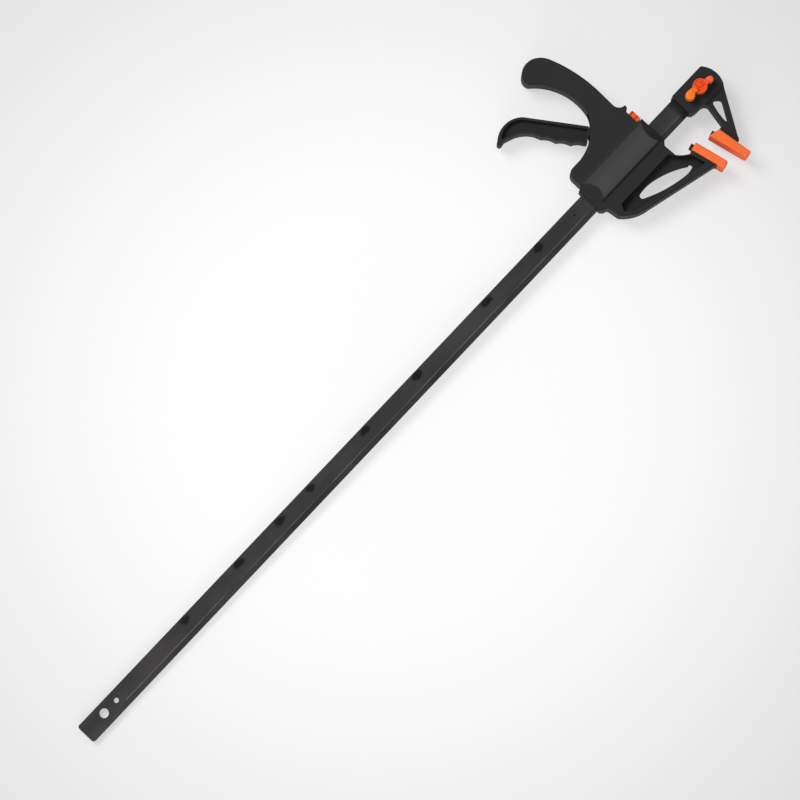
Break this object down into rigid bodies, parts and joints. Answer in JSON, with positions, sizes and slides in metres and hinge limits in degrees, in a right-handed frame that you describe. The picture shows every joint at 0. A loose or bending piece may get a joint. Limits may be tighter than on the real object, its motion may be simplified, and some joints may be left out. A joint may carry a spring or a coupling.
{
  "type": "bar clamp",
  "caption": "Quick release bar clamp: flat bar, fixed jaw with a wing nut, and a one-handed sliding jaw with a pistol grip, squeeze trigger, release button and soft pads.",
  "frame": {"origin": "centre of the bar's free end face", "axes": "+X along the bar towards the fixed jaw, +Y towards the grip, +Z out of the near side, where the wing nut is"},
  "size_m": [0.7848, 0.1945, 0.0398],
  "materials": {
    "black_steel": "satin black oxide",
    "black_plastic": "fine moulded grain, black",
    "orange_pad": "soft matt orange",
    "orange_plastic": "satin orange",
    "zinc_steel": "zinc plated",
    "plain_steel": "plain hardened",
    "spring_steel": "drawn wire",
    "brass": "turned"
  },
  "bodies": {
    "bar_and_fixed_jaw": {"bar": "black_steel", "fixed_jaw": "black_plastic", "fixed_jaw_pad": "orange_pad", "jaw_bolt": "zinc_steel", "jaw_washer": "zinc_steel"},
    "wing_nut": {"wing_nut": "orange_plastic", "wing_nut_insert": "brass"},
    "carriage": {"near_shell": "black_plastic", "far_shell": "black_plastic", "screw_grip_end": "zinc_steel", "screw_grip_root": "zinc_steel", "screw_rear_top": "zinc_steel", "screw_rear_low": "zinc_steel", "screw_front_low": "zinc_steel", "screw_jaw_tip": "zinc_steel", "moving_jaw_pad": "orange_pad", "trigger_pin": "zinc_steel", "drive_spring": "spring_steel", "brake_spring": "spring_steel"},
    "trigger": {"trigger": "black_plastic"},
    "drive_plates": {"drive_plate_front": "plain_steel", "drive_plate_rear": "plain_steel"},
    "brake": {"brake_plate": "plain_steel", "release_button": "orange_plastic"}
  },
  "joints": [
    {"name": "wing_nut_turn", "type": "hinge", "parent": "bar_and_fixed_jaw", "child": "wing_nut", "pos_m": [0.765, -0.0008, 0], "axis": [0, 0, 1], "continuous": true},
    {"name": "carriage_slide", "type": "slide", "parent": "bar_and_fixed_jaw", "child": "carriage", "axis": [1, 0, 0], "range_m": [-0.583, 0.0108]},
    {"name": "trigger_squeeze", "type": "hinge", "parent": "carriage", "child": "trigger", "pos_m": [0.66897, 0.028, 0], "axis": [0, 0, -1], "range_deg": [0, 24], "stiffness_Nm_per_rad": 0.6, "springref_deg": -17.19},
    {"name": "drive_stroke", "type": "slide", "parent": "carriage", "child": "drive_plates", "axis": [-1, 0, 0], "range_m": [0, 0.0057], "deforming": ["drive_spring"]},
    {"name": "brake_release", "type": "hinge", "parent": "carriage", "child": "brake", "pos_m": [0.70017, -0.0125, 0], "axis": [0, 0, 1], "range_deg": [0, 6], "stiffness_Nm_per_rad": 0.3, "springref_deg": -5.73, "deforming": ["brake_spring"]}
  ],
  "couplings": [
    {"joint": "drive_stroke", "follows": "trigger_squeeze", "m_per_rad": 0.0134}
  ]
}
